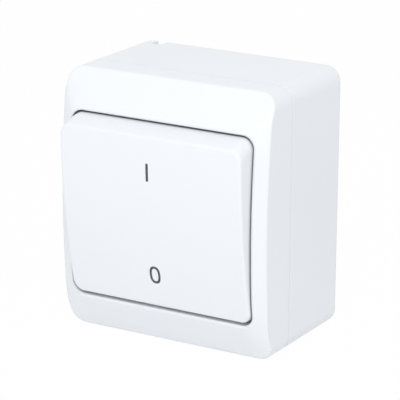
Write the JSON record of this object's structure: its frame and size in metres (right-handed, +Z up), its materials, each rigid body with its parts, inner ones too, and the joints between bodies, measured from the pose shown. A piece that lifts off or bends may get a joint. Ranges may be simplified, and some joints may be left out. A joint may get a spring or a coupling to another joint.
{
  "type": "double-pole surface switch",
  "caption": "Surface-mounted double-pole wall switch: a plastic box with a bevelled cover, one large rocker marked I and 0, sprung plungers, rocking contacts and screw terminals.",
  "frame": {"origin": "centre of the face that lies on the wall", "axes": "+X right seen from the room, +Y into the wall, +Z up"},
  "size_m": [0.066, 0.0487, 0.076],
  "materials": {
    "white_plastic": "gloss",
    "mark_ink": "satin",
    "insulating_plastic": "satin",
    "brass": "satin",
    "contact_silver": "satin",
    "screw_steel": "zinc plated",
    "spring_steel": "bright"
  },
  "bodies": {
    "housing": {"rear_base": "white_plastic", "front_cover": "white_plastic", "cover_screws": "screw_steel", "mechanism_block": "insulating_plastic", "mechanism_plate": "insulating_plastic", "mechanism_screws": "screw_steel", "terminal_top_left": "brass", "terminal_top_right": "brass", "terminal_bottom_left": "brass", "terminal_bottom_right": "brass", "terminal_screws": "screw_steel", "contact_saddle_left": "brass", "contact_saddle_right": "brass", "fixed_contact_left": "brass", "fixed_contact_right": "brass", "fixed_tip_left": "contact_silver", "fixed_tip_right": "contact_silver"},
    "rocker": {"rocker_cap": "white_plastic", "rocker_cradle": "insulating_plastic", "plunger_spring_left": "spring_steel", "plunger_spring_right": "spring_steel"},
    "plunger_l": {"plunger_left": "insulating_plastic"},
    "plunger_r": {"plunger_right": "insulating_plastic"},
    "blade_left": {"moving_contact_left": "brass", "moving_tip_left": "contact_silver"},
    "blade_right": {"moving_contact_right": "brass", "moving_tip_right": "contact_silver"}
  },
  "joints": [
    {"name": "rocker_tilt", "type": "hinge", "parent": "housing", "child": "rocker", "pos_m": [0, -0.038, 0], "axis": [-1, 0, 0], "range_deg": [0, 15.1]},
    {"name": "plunger_slide_left", "type": "slide", "parent": "rocker", "child": "plunger_l", "axis": [0, -0.9913, -0.1314], "range_m": [0, 0.0008], "stiffness_N_per_m": 800, "springref_m": -0.003, "deforming": ["plunger_spring_left"]},
    {"name": "plunger_slide_right", "type": "slide", "parent": "rocker", "child": "plunger_r", "axis": [0, -0.9913, -0.1314], "range_m": [0, 0.0008], "stiffness_N_per_m": 800, "springref_m": -0.003, "deforming": ["plunger_spring_right"]},
    {"name": "blade_rock_left", "type": "hinge", "parent": "housing", "child": "blade_left", "pos_m": [-0.0085, -0.0155, 0], "axis": [1, 0, 0], "range_deg": [0, 15.1]},
    {"name": "blade_rock_right", "type": "hinge", "parent": "housing", "child": "blade_right", "pos_m": [0.0085, -0.0155, 0], "axis": [1, 0, 0], "range_deg": [0, 15.1]}
  ],
  "couplings": [
    {"joint": "blade_rock_left", "follows": "rocker_tilt", "ratio": 1},
    {"joint": "blade_rock_right", "follows": "rocker_tilt", "ratio": 1}
  ]
}
